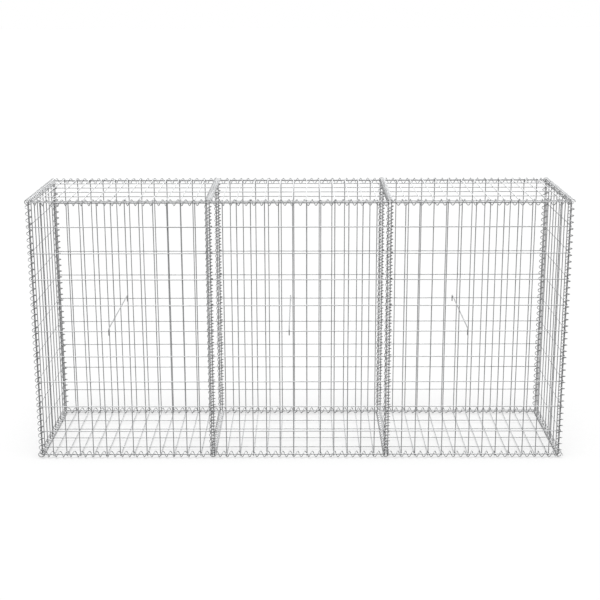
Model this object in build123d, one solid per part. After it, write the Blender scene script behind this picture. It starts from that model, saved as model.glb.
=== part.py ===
from build123d import *
import os
from math import atan2, ceil, cos, floor, pi, sin

# A welded mesh gabion basket, empty and closed: six mesh panels, two diaphragm panels that
# part it into three compartments, spiral binders that lace every joined edge, and three
# bracing rods hooked from the front panel to the back one.
# +X runs along the length, +Y from front to back and +Z up. Sizes are in millimetres.
# The origin is on the ground under the middle of the basket.

# Driving dimensions
basket_length = 2000.0  # between the planes of the two end panels
basket_depth = 494.0  # between the planes of the front and back panels
basket_height = 994.0  # between the planes of the base and the lid
wire = 3.5  # mesh wire, drawn with a square section of this width
seam_gap = 0.1  # between the wires of two panels that meet
first_column = 45.7  # from the left end panel to the first of the wires along the length
column_pitch = 51.8  # between them
row_pitch = 100.0  # between wires up the height, and across the base and the lid
first_row = 98.0  # from the base up to the first level wire
base_first_row = 84.0  # from the front panel to the first long wire of the base
lid_first_row = 104.0  # the same on the lid
end_cells = 9  # cells across an end panel or a diaphragm
compartments = 3
divider_step_back = 10.0  # a diaphragm stands this far left of the front wire it is laced to
coil_across = 25.0  # spiral binder, over its wire
coil_wire = 4.0  # across the corners of the binder's three-sided section
coil_wire_sides = 3
coil_corners = 4  # bends in one turn
coil_gap = 0.3  # between a spiral and the edge wire that it bears on
coil_margin = 32.0  # the spirals stop this far short of each corner
coil_turn_on_height = 50.0  # length of one turn on the upright edges
coil_turn_on_depth = 52.0  # and on the edges from front to back
shift_trials = 50  # starts tried for each spiral
rod_wire = 4.0  # bracing rod, across the corners of its section
rod_sides = 6
rod_row = 5  # the level wire, counted from the base, that carries the rods
rod_rise = 12.0  # the rod runs this far above the wire that it hooks
rod_tip = 15.0  # the hook ends this far below that wire
rod_bend = 6.0  # size of the hook's bend
rod_places = (280.0, 960.0, 1632.0)  # from the left end

# Worked out from them
edge_inset = wire + seam_gap
coil_half = (coil_across - coil_wire) / 2
coil_bend_radius = coil_half / cos(pi / coil_corners)
coil_seat = coil_half - coil_wire / 2 - coil_gap  # from the face it bears on to its axis
coil_out = coil_seat - edge_inset - wire / 2  # its axis lies this far outside the panel's plane
half_length = basket_length / 2
half_depth = basket_depth / 2
end_pitch = (basket_depth - 2 * edge_inset) / end_cells


def steps(first, pitch, last):
    """Places from first on, a pitch apart, that leave at least half a pitch before last."""
    count = int((last - first) / pitch - 0.5) + 1
    return [first + pitch * i for i in range(count)]


column_places = steps(first_column - half_length, column_pitch, half_length)
row_places = steps(first_row, row_pitch, basket_height)
base_places = steps(base_first_row - half_depth, row_pitch, half_depth)
lid_places = steps(lid_first_row - half_depth, row_pitch, half_depth)
end_places = [end_pitch * (i - end_cells / 2) for i in range(1, end_cells)]
divider_columns = [
    min(column_places, key=lambda x: abs(x + half_length - basket_length * i / compartments))
    for i in range(1, compartments)
]


def mesh_panel(plane, size_a, size_b, places_a, places_b, b_offset):
    """Two layers of straight wires on a plane, welded where they cross.

    The wires along the plane's second axis stand at places_a in the plane itself, and those
    along its first axis at places_b, b_offset away. size_a and size_b are the lowest and
    highest places of the two edge wires, which close the panel all round.
    """
    reach_a = (size_a[1] - size_a[0]) + wire
    reach_b = (size_b[1] - size_b[0]) + wire
    middle_a = sum(size_a) / 2
    middle_b = sum(size_b) / 2
    uprights = [
        plane * Pos(a, middle_b, 0) * Box(wire, reach_b, wire)
        for a in (size_a[0], *places_a, size_a[1])
    ]
    crossbars = [
        plane * Pos(middle_a, b, b_offset) * Box(reach_a, wire, wire)
        for b in (size_b[0], *places_b, size_b[1])
    ]
    return Compound(uprights + crossbars)


length_edges = (edge_inset - half_length, half_length - edge_inset)
depth_edges = (edge_inset - half_depth, half_depth - edge_inset)
height_edges = (edge_inset, basket_height - edge_inset)


def long_wall(y, outward):
    """The front or the back panel, with its level wires on the outer face."""
    plane = Plane(origin=(0, y, 0), x_dir=(1, 0, 0), z_dir=(0, -1, 0))
    return mesh_panel(plane, length_edges, height_edges, column_places, row_places, -wire * outward)


def cross_wall(x, outward):
    """An end panel or a diaphragm, with its level wires on one face."""
    plane = Plane(origin=(x, 0, 0), x_dir=(0, 1, 0), z_dir=(1, 0, 0))
    return mesh_panel(plane, depth_edges, height_edges, end_places, row_places, wire * outward)


def deck(z, places, outward):
    """The base or the lid, with its short wires on the outer face."""
    plane = Plane(origin=(0, 0, z), x_dir=(0, -1, 0), z_dir=(0, 0, 1))
    mirrored = [-y for y in places]
    return mesh_panel(plane, depth_edges, length_edges, mirrored, column_places, wire * outward)


def turn_share(frame, offset):
    """The share of a turn at which a spiral passes the side that offset points to."""
    side = Vector(*offset)
    sector = 2 * pi / coil_corners
    bends, past = divmod(atan2(side.dot(frame.y_dir), side.dot(frame.x_dir)), sector)
    return (bends + sin(past) / (sin(past) + sin(sector - past))) / coil_corners


def clear_shift(frame, turn, crossings):
    """Where along the edge a spiral's first bend goes, for its wire to miss the mesh wires.

    crossings pairs the side on which a panel's wires cross the spiral, as an offset from its
    axis, with the places of those wires.
    """

    def nearest_wire(shift):
        gaps = []
        for offset, places in crossings:
            passed = shift + turn * turn_share(frame, offset)
            gaps += [abs((place - passed + turn / 2) % turn - turn / 2) for place in places]
        return min(gaps)

    return max((turn * i / shift_trials for i in range(shift_trials)), key=nearest_wire)


def spiral(edge_point, axis, outward, reach, turn, crossings):
    """A spiral binder: a helix of straight runs round an edge, between the two ends of reach."""
    frame = Plane(origin=edge_point, x_dir=outward, z_dir=axis)
    step = turn / coil_corners
    shift = clear_shift(frame, turn, crossings)
    first = ceil((reach[0] - shift) / step)
    last = floor((reach[1] - shift) / step)
    corners = []
    for i in range(first, last + 1):
        angle = 2 * pi * i / coil_corners
        across = coil_bend_radius * cos(angle)
        along_side = coil_bend_radius * sin(angle)
        corners.append(frame.from_local_coords(Vector(across, along_side, shift + step * i)))
    section = Plane(origin=corners[0], z_dir=corners[1] - corners[0])
    return sweep(
        section * RegularPolygon(coil_wire / 2, coil_wire_sides),
        path=Polyline(*corners),
        transition=Transition.RIGHT,
    )


def bracing_rod(x, z):
    """A rod hooked over a level wire of the front panel and of the back one."""
    leg = half_depth + wire + (wire + rod_wire) / 2 + seam_gap
    half = [(leg, z - rod_tip), (leg, z + rod_rise - rod_bend), (leg - rod_bend, z + rod_rise)]
    route = [Vector(x, -y, h) for y, h in half] + [Vector(x, y, h) for y, h in reversed(half)]
    section = Plane(origin=route[0], x_dir=(1, 0, 0), z_dir=route[1] - route[0])
    return sweep(
        section * RegularPolygon(rod_wire / 2, rod_sides),
        path=Polyline(*route),
        transition=Transition.RIGHT,
    )


parts = {
    "front_panel": long_wall(-half_depth, -1),
    "back_panel": long_wall(half_depth, 1),
    "left_end_panel": cross_wall(-half_length, -1),
    "right_end_panel": cross_wall(half_length, 1),
    "base_panel": deck(0, base_places, -1),
    "lid_panel": deck(basket_height, lid_places, 1),
}
divider_names = ["left_divider", "right_divider"]
divider_places = [x - divider_step_back for x in divider_columns]
divider_axes = [x + wire / 2 - coil_seat for x in divider_columns]
for name, x in zip(divider_names, divider_places):
    parts[name] = cross_wall(x, 1)

# The edges that run along the length: one spiral for each compartment
side_signs = {"front": -1, "back": 1}
level_signs = {"bottom": -1, "top": 1}
level_places = {"bottom": 0, "top": basket_height}
deck_places = {"bottom": base_places, "top": lid_places}
bay_names = ["left", "middle", "right"]
bay_walls = [-half_length, *divider_places, half_length]
for side, side_sign in side_signs.items():
    for level, level_sign in level_signs.items():
        y = side_sign * (half_depth + coil_out)
        z = level_places[level] - level_sign * edge_inset / 2
        wall_side = (0, -side_sign * coil_out, -level_sign * coil_half)
        deck_side = (0, -side_sign * coil_half, level_sign * (edge_inset / 2 + wire))
        for i, bay in enumerate(bay_names):
            parts[f"{side}_{level}_spiral_{bay}"] = spiral(
                edge_point=(0, y, z),
                axis=(1, 0, 0),
                outward=(0, side_sign, level_sign),
                reach=(bay_walls[i] + coil_margin, bay_walls[i + 1] - coil_margin),
                turn=column_pitch,
                crossings=[(wall_side, column_places), (deck_side, column_places)],
            )

# The upright edges, at the four corners and along both sides of each diaphragm. Each seam
# has its axis, the ways in which the long wall runs on from it, and how far from the axis the
# level wires of the cross wall lie.
corner_x = half_length - edge_inset / 2
upright_seams = {
    "left_end": (-corner_x, [1], -edge_inset / 2 - wire),
    "right_end": (corner_x, [-1], edge_inset / 2 + wire),
}
for name, x, axis_x in zip(divider_names, divider_places, divider_axes):
    upright_seams[name] = (axis_x, [1, -1], x + wire - axis_x)
for side, side_sign in side_signs.items():
    for seam, (x, ways, cross_wires) in upright_seams.items():
        cross_side = (cross_wires, -side_sign * coil_half, 0)
        long_sides = [(way * coil_half, side_sign * (wire - coil_out), 0) for way in ways]
        parts[f"{seam}_{side}_spiral"] = spiral(
            edge_point=(x, side_sign * (half_depth + coil_out), 0),
            axis=(0, 0, 1),
            outward=(-ways[0], side_sign, 0),
            reach=(coil_margin, basket_height - coil_margin),
            turn=coil_turn_on_height,
            crossings=[(offset, row_places) for offset in (cross_side, *long_sides)],
        )

# The edges that run from front to back, at the ends and along each diaphragm. Here the last
# value is how far from the axis the upright wires of the cross wall lie.
cross_seams = {
    "left_end": (-half_length - coil_out, [1], coil_out),
    "right_end": (half_length + coil_out, [-1], -coil_out),
}
for name, x, axis_x in zip(divider_names, divider_places, divider_axes):
    cross_seams[name] = (axis_x, [1, -1], x - axis_x)
for level, level_sign in level_signs.items():
    for seam, (x, ways, cross_wires) in cross_seams.items():
        cross_side = (cross_wires, 0, -level_sign * coil_half)
        deck_sides = [(way * coil_half, 0, 0) for way in ways]
        parts[f"{seam}_{level}_spiral"] = spiral(
            edge_point=(x, 0, level_places[level]),
            axis=(0, 1, 0),
            outward=(-ways[0], 0, level_sign),
            reach=(coil_margin - half_depth, half_depth - coil_margin),
            turn=coil_turn_on_depth,
            crossings=[(cross_side, end_places)]
            + [(offset, deck_places[level]) for offset in deck_sides],
        )

for name, place in zip(bay_names, rod_places):
    parts[f"{name}_bracing_rod"] = bracing_rod(place - half_length, row_places[rod_row - 1])

# The basket stands on its lowest spirals, so everything is lifted by their reach
lift = -min(shape.bounding_box().min.Z for shape in parts.values())
os.makedirs("parts", exist_ok=True)
for name, shape in parts.items():
    export_step(Pos(0, 0, lift) * shape, f"parts/{name}.step")
print(len(parts), "parts, lifted", round(lift, 2), "columns", len(column_places), "rows", len(row_places))
print("diaphragms at", [round(x + half_length, 1) for x in divider_places], "from the left end")
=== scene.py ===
# %% [markdown]
# # A welded mesh gabion basket
#
# The real basket is a cage of galvanised steel wire. Flat panels of welded mesh make its walls,
# base and lid, spiral wires lace every edge where panels meet, and a hooked rod crosses each of
# its three bays. This scene dresses a fixed frame of plain solids, which holds the sizes and
# places. Each solid there is square in section or has only a few flat runs, so every one of them
# is replaced by round wire.

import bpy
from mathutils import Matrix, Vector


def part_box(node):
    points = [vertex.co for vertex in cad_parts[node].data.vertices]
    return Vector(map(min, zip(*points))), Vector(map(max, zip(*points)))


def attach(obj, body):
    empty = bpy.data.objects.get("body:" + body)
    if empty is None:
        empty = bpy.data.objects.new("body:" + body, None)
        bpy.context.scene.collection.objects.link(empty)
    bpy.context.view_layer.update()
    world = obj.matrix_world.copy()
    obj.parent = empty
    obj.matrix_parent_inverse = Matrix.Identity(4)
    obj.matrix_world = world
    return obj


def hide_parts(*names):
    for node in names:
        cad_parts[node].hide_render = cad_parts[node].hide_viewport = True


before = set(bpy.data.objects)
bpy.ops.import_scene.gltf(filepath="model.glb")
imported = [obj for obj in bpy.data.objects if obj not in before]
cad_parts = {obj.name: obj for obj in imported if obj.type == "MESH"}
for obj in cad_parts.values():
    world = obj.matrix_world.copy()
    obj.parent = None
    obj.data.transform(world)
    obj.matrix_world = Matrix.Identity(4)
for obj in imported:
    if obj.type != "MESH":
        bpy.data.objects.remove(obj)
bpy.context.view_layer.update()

from math import ceil, cos, pi

import bpy
import numpy as np
from mathutils import Matrix

MM = 0.001
print("frame nodes:", len(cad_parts))

# %% [markdown]
# ## Where the wires run
#
# A mesh panel in the frame is a group of long square bars, one for each wire. The frame lists a
# bar's twelve triangles one after another, so a panel's faces are taken twelve at a time, and
# the box round each dozen gives the wire's two ends. Reading them from the frame, instead of
# repeating the sizes here, keeps every wire in place when the frame changes.


# %% Read the straight wires of a panel
def wires_of(node):
    """The wires of a panel: for each, its direction as 0, 1 or 2, and its two ends."""
    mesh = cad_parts[node].data
    found = []
    for first in range(0, len(mesh.polygons), 12):
        faces = mesh.polygons[first : first + 12]
        corners = np.array([mesh.vertices[i].co for face in faces for i in face.vertices])
        low, high = corners.min(axis=0), corners.max(axis=0)
        way = int(np.argmax(high - low))
        start = (low + high) / 2
        end = start.copy()
        start[way], end[way] = low[way], high[way]
        found.append((way, start, end))
    return found


long_walls = ["front_panel", "back_panel", "base_panel", "lid_panel"]
end_walls = ["left_end_panel", "right_end_panel"]
divider_nodes = ["left_divider", "right_divider"]
spiral_nodes = [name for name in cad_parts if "spiral" in name]
rod_nodes = [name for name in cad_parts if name.endswith("rod")]
panel_wires = {name: wires_of(name) for name in long_walls + end_walls}
print({name: len(wires) for name, wires in panel_wires.items()})

# %% [markdown]
# ## Three bays
#
# The photograph shows three bays side by side. The front, the back, the base and the lid are
# three panels each, and at the two seams between them the edge wires of both neighbours lie
# close together. The frame has these walls in one length, with a mesh panel across the inside at
# each seam. So the long wires are cut at the seams, the other wires take the exact places that
# were measured in each bay, and of the inner panels only the rim is kept, as the second edge
# wire of each seam. Nothing stands between the bays, as in the photograph.

# %% Cut the long walls at the seams
SEAM_WIRES = np.array([[-341.2, -332.2], [327.4, 338.4]]) * MM  # left and right of each seam
BAY_SHIFT = np.array([-0.8, -3.3, -1.3]) * MM  # of the wires inside each bay
STUB = 2.4 * MM  # by which a long wire runs past the middle of an edge wire
SEAM_SEARCH = 6 * MM  # a wire of the frame this close to a seam's right edge wire becomes the pair
CORNER = 0.98  # metres from the middle, beyond which only the end edge wires lie, and they stay
seam_axes = SEAM_WIRES.mean(axis=1)
rims = {name: [] for name in divider_nodes}
for name in long_walls:
    in_bays = []
    for way, start, end in panel_wires[name]:
        if way == 0:
            cuts = (SEAM_WIRES + [STUB, -STUB]).ravel()
            for left, right in zip([start[0], *cuts[1::2]], [*cuts[::2], end[0]]):
                near, far = start.copy(), end.copy()
                near[0], far[0] = left, right
                in_bays.append((way, near, far))
            continue
        seam = int(np.argmin(abs(SEAM_WIRES[:, 1] - start[0])))
        if abs(SEAM_WIRES[seam, 1] - start[0]) < SEAM_SEARCH:
            for side in (0, 1):
                near, far = start.copy(), end.copy()
                near[0] = far[0] = SEAM_WIRES[seam, side]
                in_bays.append((way, near, far))
            rims[divider_nodes[seam]].append(in_bays[-2])
            continue
        inside = abs(start[0]) < CORNER
        shift = BAY_SHIFT[np.searchsorted(seam_axes, start[0])] * inside
        start[0] += shift
        end[0] += shift
        in_bays.append((way, start, end))
    panel_wires[name] = in_bays
print({name: len(wires) for name, wires in (panel_wires | rims).items()})

# %% [markdown]
# ## Shader maths that reads like maths
#
# A material is a tree of nodes. Written node by node it is hard to follow, so one small class
# wraps a socket: adding or multiplying two of them makes the Math node that does it, and every
# other node comes from the one method `of`.


# %% A socket that joins in sums
class Field:
    """A value that changes over the surface."""

    def __init__(self, socket):
        self.socket = socket
        self.tree = socket.id_data

    @classmethod
    def of(cls, tree, kind, settings=None, sockets=None, output=0):
        """A new node of that kind. Its settings are set first, then its sockets."""
        node = tree.nodes.new(kind)
        for name, value in (settings or {}).items():
            setattr(node, name, value)
        for name, value in (sockets or {}).items():
            if isinstance(value, Field):
                tree.links.new(value.socket, node.inputs[name])
            else:
                node.inputs[name].default_value = value
        return cls(node.outputs[output]) if node.outputs else None

    def maths(self, operation, first, second):
        settings = {"operation": operation}
        return Field.of(self.tree, "ShaderNodeMath", settings, {0: first, 1: second})

    def __add__(self, other):
        return self.maths("ADD", self, other)

    def __sub__(self, other):
        return self.maths("SUBTRACT", self, other)

    def __mul__(self, other):
        return self.maths("MULTIPLY", self, other)

    __radd__ = __add__


# %% [markdown]
# ## Galvanised wire
#
# Hot zinc leaves a skin that is neither paint nor polished metal. It is a mid grey with pale and
# dark clouds some centimetres long, a fine grain of crystals, and a soft sheen that differs from
# spot to spot. Three noises at those three scales make it. They drive the colour, the roughness
# and a shallow bump, and all of them read object coordinates, so the skin stays on the wire.
# The light leaves the wires that run from front to back paler than the others, so a paler copy of
# the skin paints that light on: painted light on the wires of the lid and of the ends, and on the
# spirals that run that way.


# %% Make a zinc skin
METALLIC = 0.1  # dull zinc scatters most of its light
GRAIN = 0.06 * MM  # height of the crystals on a plain wire
WELD_GRAIN = 0.2 * MM


def grey(value):
    """A grey that is slightly blue."""
    return (value, value + 0.005, value + 0.01, 1)


def zinc(name, dark, light, roughness, grain_height=GRAIN):
    """A galvanised skin between two greys."""
    material = bpy.data.materials.new(name)
    material.use_nodes = True
    tree = material.node_tree
    tree.nodes.clear()
    place = Field.of(tree, "ShaderNodeTexCoord", output="Object")

    def noise(scale, detail, sharpness):
        sockets = {"Vector": place, "Scale": scale, "Detail": detail, "Roughness": sharpness}
        return Field.of(tree, "ShaderNodeTexNoise", sockets=sockets)

    clouds = noise(scale=14.0, detail=2.0, sharpness=0.5)
    streaks = noise(scale=75.0, detail=3.0, sharpness=0.5)
    grain = noise(scale=900.0, detail=2.0, sharpness=0.6)
    tone = clouds * 0.9 + streaks * 0.7 + grain * 0.4 - 0.5
    colour = Field.of(
        tree,
        "ShaderNodeMix",
        {"data_type": "RGBA", "clamp_factor": True},
        {0: tone, 6: grey(dark), 7: grey(light)},
        output=2,
    )
    relief = {"Strength": 0.5, "Distance": grain_height, "Height": grain + streaks * 0.5}
    bump = Field.of(tree, "ShaderNodeBump", sockets=relief)
    finish = {
        "Base Color": colour,
        "Metallic": METALLIC,
        "Roughness": roughness + (streaks - 0.5) * 0.3,
        "Normal": bump,
        "Specular IOR Level": 0.3,
    }
    skin = Field.of(tree, "ShaderNodeBsdfPrincipled", sockets=finish)
    Field.of(tree, "ShaderNodeOutputMaterial", sockets={"Surface": skin})
    return material


mesh_zinc = zinc("mesh_zinc", dark=0.30, light=0.46, roughness=0.5)
# a paler copy of the same zinc: painted light for the wires and spirals that run from front to
# back
painted_light_zinc = zinc("painted_light_zinc", dark=0.42, light=0.60, roughness=0.5)
weld_zinc = zinc("weld_zinc", dark=0.25, light=0.39, roughness=0.6, grain_height=WELD_GRAIN)
binder_zinc = zinc("binder_zinc", dark=0.27, light=0.43, roughness=0.45)
rod_zinc = zinc("rod_zinc", dark=0.22, light=0.36, roughness=0.5)
print([m.name for m in bpy.data.materials])

# %% [markdown]
# ## Round wire
#
# Every wire here is a round section carried along a line. A curve object with a bevel could do
# it, but thousands of them are slow, and a mesh lets each ring be placed and sized one by one. So
# a
# bar is built as rings of points: each ring stands square to the line, and faces join it to the
# next. The first and the last ring are smaller, which is the small bevel that a wire cutter
# leaves.


# %% Carry a round section along a line
CUT = 0.3 * MM  # the bevel at both ends of a wire


def round_bar(points, normals, radius, sides):
    """Vertices and faces of a bar. A ring's first vertex lies where its normal points."""
    points = np.asarray(points, float)
    along = np.gradient(points, axis=0)
    along /= np.linalg.norm(along, axis=1, keepdims=True)
    points = np.vstack([points[0] - along[0] * CUT, points, points[-1] + along[-1] * CUT])
    along = np.vstack([along[0], along, along[-1]])
    normals = np.vstack([normals[0], normals, normals[-1]])
    radii = np.full(len(points), radius)
    radii[[0, -1]] = radius - CUT
    normals = normals - (normals * along).sum(axis=1, keepdims=True) * along
    normals /= np.linalg.norm(normals, axis=1, keepdims=True)
    across = np.cross(along, normals)
    angles = (np.arange(sides) * 2 * pi / sides)[None, :, None]
    spokes = np.cos(angles) * normals[:, None] + np.sin(angles) * across[:, None]
    vertices = (points[:, None] + radii[:, None, None] * spokes).reshape(-1, 3)
    first = np.arange(len(points) - 1)[:, None] * sides
    a = first + np.arange(sides)
    b = first + (np.arange(sides) + 1) % sides
    faces = np.stack([a, b, b + sides, a + sides], axis=-1).reshape(-1, 4).tolist()
    last = len(vertices) - sides
    return vertices, faces + [list(range(sides))[::-1], list(range(last, last + sides))]


def piece_of(name, shapes, materials):
    """One smooth object from many shapes, each with its vertices, faces and material number."""
    faces, numbers, count = [], [], 0
    for vertices, shape_faces, number in shapes:
        faces += [[i + count for i in face] for face in shape_faces]
        numbers += [number] * len(shape_faces)
        count += len(vertices)
    mesh = bpy.data.meshes.new(name)
    mesh.from_pydata(np.vstack([shape[0] for shape in shapes]).tolist(), [], faces)
    for material in materials:
        mesh.materials.append(material)
    mesh.polygons.foreach_set("material_index", numbers)
    mesh.polygons.foreach_set("use_smooth", [len(face) <= 4 for face in faces])
    mesh.update()
    piece = bpy.data.objects.new(name, mesh)
    bpy.context.collection.objects.link(piece)
    return piece


# %% [markdown]
# ## Welded mesh
#
# A panel's wires lie in two layers that touch, and a spot weld joins each crossing. Under the
# electrodes the hot wires sink into each other a little and a collar of metal squeezes out. Here
# a flat nugget of three rings sits in the contact of each crossing. Wire off a coil is never
# dead straight, so each one also wanders by a fraction of its thickness, in two waves at once.

# %% Values of the mesh wire
WIRE = 3.5 * MM
WIRE_SIDES = 10
RING_STEP = 26 * MM
WANDER = 0.3 * MM
WAVE_LENGTH = 0.9
NUGGET = (2.5 * MM, 1.3 * MM)  # half the width and half the thickness of a weld
NUGGET_SIZES = (0.9, 1.12)  # the smallest and the largest share of that size
NUGGET_SIDES = 8
NUGGET_RINGS = (-0.75, 0.0, 0.75)  # their heights, as a share of half the thickness
AS_MESH, AS_CROSS, AS_WELD = 0, 1, 2  # places of a panel's skins in its list
dice = np.random.default_rng(7)


# %% Shape one wire and one weld
def mesh_wire(way, start, end):
    """One straight wire with a slight wander."""
    length = end[way] - start[way]
    share = np.linspace(0, 1, ceil(length / RING_STEP) + 1)
    points = start + share[:, None] * (end - start)
    for side in {0, 1, 2} - {way}:
        for waves in (1, 2.7):
            turn = 2 * pi * (share * waves * length / WAVE_LENGTH + dice.random())
            points[:, side] += WANDER / (1 + waves) * np.sin(turn)
    points[0, way] += CUT
    points[-1, way] -= CUT
    normals = np.tile(np.eye(3)[(way + 1) % 3], (len(points), 1))
    # front-to-back wires take the second skin, which is the paler one with painted light, except
    # on the base
    skin = AS_CROSS if way == 1 else AS_MESH
    return (*round_bar(points, normals, WIRE / 2, WIRE_SIDES), skin)


def nugget(centre, flat_way):
    """The weld at a crossing, squashed along the panel's own normal."""
    size = np.full(3, NUGGET[0])
    size[flat_way] = NUGGET[1]
    size = size * dice.uniform(*NUGGET_SIZES)
    n = NUGGET_SIDES
    around = np.arange(n) * 2 * pi / n
    rings = []
    for height in NUGGET_RINGS:
        ring = np.zeros((n, 3))
        reach = (1 - height**2) ** 0.5
        ring[:, (flat_way + 1) % 3] = reach * np.cos(around)
        ring[:, (flat_way + 2) % 3] = reach * np.sin(around)
        ring[:, flat_way] = height
        rings.append(ring * size)
    faces = []
    for r in (0, n):
        faces += [[r + i, r + (i + 1) % n, r + n + (i + 1) % n, r + n + i] for i in range(n)]
    faces += [list(range(n))[::-1], list(range(2 * n, 3 * n))]
    return centre + np.vstack(rings), faces, AS_WELD


def hand_over(piece, node):
    """Fix a piece to the basket in place of its solid in the frame."""
    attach(piece, "root")
    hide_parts(node)


# %% Build the panels and the edge wires of the seams
rim_wires = {id(wire) for wires in rims.values() for wire in wires}
for name, wires in panel_wires.items():
    ways = sorted({way for way, _, _ in wires})
    flat_way = 3 - sum(ways)
    shapes = [mesh_wire(*wire) for wire in wires if id(wire) not in rim_wires]
    bars = len(shapes)
    for way_a, start_a, end_a in wires:
        for way_b, start_b, _ in wires:
            if way_a != ways[0] or way_b != ways[1]:
                continue
            if start_a[way_a] < start_b[way_a] < end_a[way_a]:
                centre = start_b.copy()
                centre[way_b] = start_a[way_b]
                centre[flat_way] = (start_a[flat_way] + start_b[flat_way]) / 2
                shapes.append(nugget(centre, flat_way))
    # the base keeps the plain skin, and elsewhere the front-to-back wires get the painted light
    across = mesh_zinc if name == "base_panel" else painted_light_zinc
    panel = piece_of(name + "_welded_wire", shapes, [mesh_zinc, across, weld_zinc])
    hand_over(panel, name)
    print(panel.name, bars, "wires", len(shapes) - bars, "welds")
for name, wires in rims.items():
    shapes = [mesh_wire(*wire) for wire in wires]
    rim = piece_of(name.replace("divider", "seam_edge_wires"), shapes, [mesh_zinc, painted_light_zinc])
    hand_over(rim, name)
    print(rim.name, len(wires), "wires")

# %% [markdown]
# ## Spiral binders
#
# A binder is a stiff wire wound into a long open coil. It is screwed along a seam, so that every
# turn goes round the edge wires of all the panels that meet there. A turn can't pass through a
# mesh wire, and the real coil springs a little along its axis to slip by. The helix here does the
# same: where it would come too near a crossing wire, a smooth bump in its advance moves it past.

# %% Values of the binders
BINDER_WIRE = 3.0 * MM
COIL_RADIUS = 10.98 * MM  # to the middle of the wire
COIL_SEGMENTS = 20
COIL_SIDES = 8
TURN = {0: 28.5 * MM, 1: 24.8 * MM, 2: 24.8 * MM}  # by the direction of the edge
SETTLE = {  # by direction and name, how far coils stand off the frame's axes, inwards and upwards
    (0, "bottom_spiral"): (0.0, 2.4 * MM),
    (0, "top_spiral"): (1.5 * MM, -3.0 * MM),
    (1, "end_top_spiral"): (3.0 * MM, -3.0 * MM),
    (1, "divider_top_spiral"): (0.0, -1.5 * MM),
}
STRAND_STEP = 1.4 * MM  # from an inner upright seam's axis to those of its two coils
PASS_BY = 4.2 * MM  # along the axis, from the middle of the coil's wire to a mesh wire's
PUSHED = 0.45 * pi  # the angle over which a push fades, before and after the crossing
CORNER_SEARCH = 20 * MM  # past a coil's end, for wires that its last turns pass
OVERHANG = 8 * MM  # of the front-to-back coils past the axes of the others
COIL_GAP = 1.5 * MM  # between a coil's end and the coil that crosses it


# %% Find the mesh wires that a coil has to pass
def crossings_of(way, centre, reach):
    """Angle and place of each mesh wire where it leaves the coil's cylinder."""
    u, v = (way + 2) % 3, (way + 1) % 3
    found = []
    for wires in panel_wires.values():
        for wire_way, start, end in wires:
            if wire_way == way:
                continue
            if not reach[0] - CORNER_SEARCH < start[way] < reach[1] + CORNER_SEARCH:
                continue
            other = u if wire_way == v else v
            off = start[other] - centre[other]
            if abs(off) >= COIL_RADIUS:
                continue
            half = (COIL_RADIUS**2 - off**2) ** 0.5
            for side in (-half, half):
                place = centre[wire_way] + side
                if start[wire_way] - WIRE / 2 < place < end[wire_way] + WIRE / 2:
                    local = {wire_way: side, other: off}
                    found.append((np.arctan2(local[v], local[u]) % (2 * pi), start[way]))
    return found


def coil(way, centre, reach, start_turn=0.0):
    """A left-handed coil along one edge, between two places on it."""
    u, v = (way + 2) % 3, (way + 1) % 3
    turns = (reach[1] - reach[0]) / TURN[way]
    angle = np.linspace(0, 2 * pi * turns, ceil(turns * COIL_SEGMENTS)) + start_turn * 2 * pi
    advance = reach[0] + (angle - angle[0]) / (2 * pi) * TURN[way]
    nudge = np.zeros(len(angle))
    for wire_angle, place in crossings_of(way, centre, reach):
        hits = wire_angle + 2 * pi * np.arange(-1, ceil(turns) + 3)
        at = reach[0] + (hits - angle[0]) / (2 * pi) * TURN[way]
        nearest = int(np.argmin(abs(at - place)))
        gap = at[nearest] - place
        if abs(gap) < PASS_BY:
            push = (PASS_BY - abs(gap)) * (1 if gap >= 0 else -1)
            near = np.clip(abs(angle - hits[nearest]) / PUSHED, 0, 1)
            nudge += push * np.cos(near * pi / 2) ** 2
    points = np.zeros((len(angle), 3))
    points[:, u] = centre[u] + COIL_RADIUS * np.cos(angle)
    points[:, v] = centre[v] + COIL_RADIUS * np.sin(angle)
    points[:, way] = advance + nudge
    outward = points.copy()
    outward[:, u] -= centre[u]
    outward[:, v] -= centre[v]
    outward[:, way] = 0
    return (*round_bar(points, outward, BINDER_WIRE / 2, COIL_SIDES), 0)


# %% Wind the binders
ROOM = COIL_RADIUS + BINDER_WIRE / 2 + COIL_GAP  # from one seam's axis to the next coil's end
seam_middles = {name: sum(np.array(c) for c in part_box(name)) / 2 for name in spiral_nodes}
seam_ways = {name: int(np.argmax(np.subtract(*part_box(name)[::-1]))) for name in spiral_nodes}
for name in spiral_nodes:
    way = seam_ways[name]
    centre = seam_middles[name].copy()
    if "divider" in name:
        centre[0] = seam_axes[[name.startswith(node) for node in divider_nodes].index(True)]
    for (kind_way, kind), (inwards, upwards) in SETTLE.items():
        if way == kind_way and kind in name:
            centre[1 - way] -= inwards * np.sign(centre[1 - way])
            centre[2] += upwards
    lowest, highest = (corner[way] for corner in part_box(name))
    if way == 1:
        across = [c[1] for c in seam_middles.values() if abs(c[1]) > 0.1]
        reach = [min(across) - OVERHANG, max(across) + OVERHANG]
    else:
        others = [seam_middles[n][way] for n in spiral_nodes if seam_ways[n] == 1]
        reach = [
            max(c for c in others if c < lowest) + ROOM,
            min(c for c in others if c > highest) - ROOM,
        ]
    if "divider" in name and way == 2:
        aside = np.array([STRAND_STEP, 0, 0])
        shapes = [
            coil(way, centre - aside, reach),
            coil(way, centre + aside, reach, start_turn=0.5),
        ]
    else:
        shapes = [coil(way, centre, reach)]
    # the front-to-back spirals get the paler skin with painted light
    binder = piece_of(name + "_wound", shapes, [painted_light_zinc if way == 1 else binder_zinc])
    hand_over(binder, name)
print(len(spiral_nodes), "seams laced")

# %% [markdown]
# ## Bracing rods
#
# A basket full of stone bulges, so a rod ties the front panel to the back one in the middle of
# each compartment. It is plain round wire, bent down at both ends over a level mesh wire.

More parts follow.
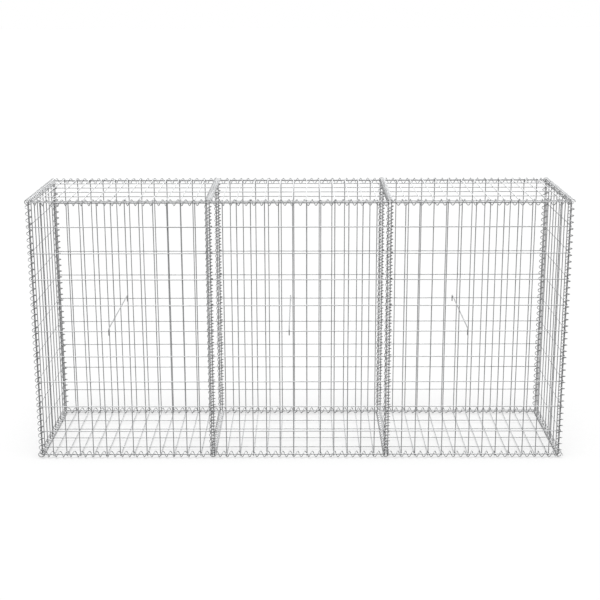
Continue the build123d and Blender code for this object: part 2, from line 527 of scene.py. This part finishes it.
# %% Bend the rods
ROD_WIRE = 4.0 * MM
ROD_SIDES = 16
ROD_BEND = 7.0 * MM
for name in rod_nodes:
    low, high = (np.array(corner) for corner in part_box(name))
    x = (low[0] + high[0]) / 2
    leg = high[1] - ROD_WIRE / 2
    top = high[2] - ROD_WIRE / 2
    turn = np.linspace(0, pi / 2, 9)
    bend_y = leg - ROD_BEND * (1 - np.cos(turn[::-1]))
    bend_z = top - ROD_BEND * (1 - np.sin(turn[::-1]))
    spans = np.linspace(-1, 1, 24)[1:-1] * (leg - ROD_BEND)
    path_y = np.concatenate([[-leg], -bend_y[::-1], spans, bend_y, [leg]])
    level = np.full(len(spans), top)
    foot = [low[2] + CUT]
    path_z = np.concatenate([foot, bend_z[::-1], level, bend_z, foot])
    points = np.stack([np.full(len(path_y), x), path_y, path_z], axis=1)
    normals = np.tile([1.0, 0.0, 0.0], (len(points), 1))
    shape = round_bar(points, normals, ROD_WIRE / 2, ROD_SIDES)
    rod = piece_of(name + "_bent", [(*shape, 0)], [rod_zinc])
    hand_over(rod, name)
    print(rod.name, "at x", round(x, 3))

# %% [markdown]
# ## Camera
#
# The photograph's own wires give the camera: with a level wire every 100 mm, one lens, height
# and tilt puts a hundred crossings within half a pixel of where the picture has them.

# %% Stand the camera where the photograph was taken
STAND = (0.0184, -4.7563, 1.8047)
YAW, PITCH, ROLL = 0.00386, 0.2546, -0.0026  # to the left, downwards and clockwise
lens = bpy.data.cameras.new("view")
lens.lens = 74.59
lens.sensor_width = 36.0
lens.clip_end = 100
camera = bpy.data.objects.new("view", lens)
camera.matrix_world = (
    Matrix.Translation(STAND)
    @ Matrix.Rotation(YAW, 4, "Z")
    @ Matrix.Rotation(pi / 2 - PITCH, 4, "X")
    @ Matrix.Rotation(ROLL, 4, "Z")
)
bpy.context.collection.objects.link(camera)
bpy.context.scene.camera = camera

# %% [markdown]
# ## Floor and light
#
# The basket stands on white paper. Thin wires are easily lost on it: where the paper is brighter
# than white, its light spills over a wire only a pixel wide and eats it away. So the paper is
# kept just at white. It reflects a small share of the light, which leaves room for the soft
# shadow of the wires, and a glow of its own, which lights nothing and only the camera sees,
# makes up the rest. One wide sun high over the front lights all of the paper alike. It pales the
# tops of the level wires and leaves the upright ones darker, as in the photograph.

# %% Lay the paper and hang the light
PAPER = 0.14  # the share of light that the paper reflects
WHITE = 1.01  # brightness of the open paper, a hair past white so that no noise shows
FLOOR = 40  # half the floor's width, in metres
SKY = 0.36  # strength of the even light from all round
SUN = 6.4  # watts a square metre
SUN_TILT = 0.15  # from straight above towards the front
SUN_WIDTH = 0.5  # the angle that it fills, which makes the shadows soft


def seen_by_camera(tree):
    """One for the rays that make the picture, also those mirrored or passed on, else nought."""
    names = ("Is Camera Ray", "Is Glossy Ray", "Is Transmission Ray")
    return sum(Field.of(tree, "ShaderNodeLightPath", output=name) for name in names)


def empty_tree(owner):
    """The node tree of a material or a world, with its first nodes taken out."""
    owner.use_nodes = True
    owner.node_tree.nodes.clear()
    return owner.node_tree


def paper():
    material = bpy.data.materials.new("white_paper")
    tree = empty_tree(material)
    lit = Field.of(tree, "ShaderNodeBsdfDiffuse", sockets={"Color": (PAPER, PAPER, PAPER, 1)})
    rest = WHITE - PAPER * (SKY + SUN * cos(SUN_TILT) / pi)
    glow = Field.of(tree, "ShaderNodeEmission", sockets={"Strength": seen_by_camera(tree) * rest})
    both = Field.of(tree, "ShaderNodeAddShader", sockets={0: lit, 1: glow})
    Field.of(tree, "ShaderNodeOutputMaterial", sockets={"Surface": both})
    print("paper reflects", PAPER, "and glows", round(rest, 3))
    return material


floor_mesh = bpy.data.meshes.new("floor")
floor_corners = [(x * FLOOR, y * FLOOR, 0) for x, y in ((-1, -1), (1, -1), (1, 1), (-1, 1))]
floor_mesh.from_pydata(floor_corners, [], [(0, 1, 2, 3)])
floor_mesh.materials.append(paper())
floor = bpy.data.objects.new("floor", floor_mesh)
bpy.context.collection.objects.link(floor)

world = bpy.data.worlds.new("studio")
tree = empty_tree(world)
soft = Field.of(tree, "ShaderNodeBackground", sockets={"Color": (1, 1, 1, 1), "Strength": SKY})
white = Field.of(tree, "ShaderNodeBackground", sockets={"Color": (1, 1, 1, 1), "Strength": 1.0})
sky = Field.of(tree, "ShaderNodeMixShader", sockets={0: seen_by_camera(tree), 1: soft, 2: white})
Field.of(tree, "ShaderNodeOutputWorld", sockets={"Surface": sky})
bpy.context.scene.world = world

key = bpy.data.lights.new("key", "SUN")
key.energy = SUN
key.angle = SUN_WIDTH
key_light = bpy.data.objects.new("key", key)
key_light.matrix_world = Matrix.Rotation(SUN_TILT, 4, "X")
bpy.context.collection.objects.link(key_light)
bpy.context.scene.view_settings.view_transform = "Standard"
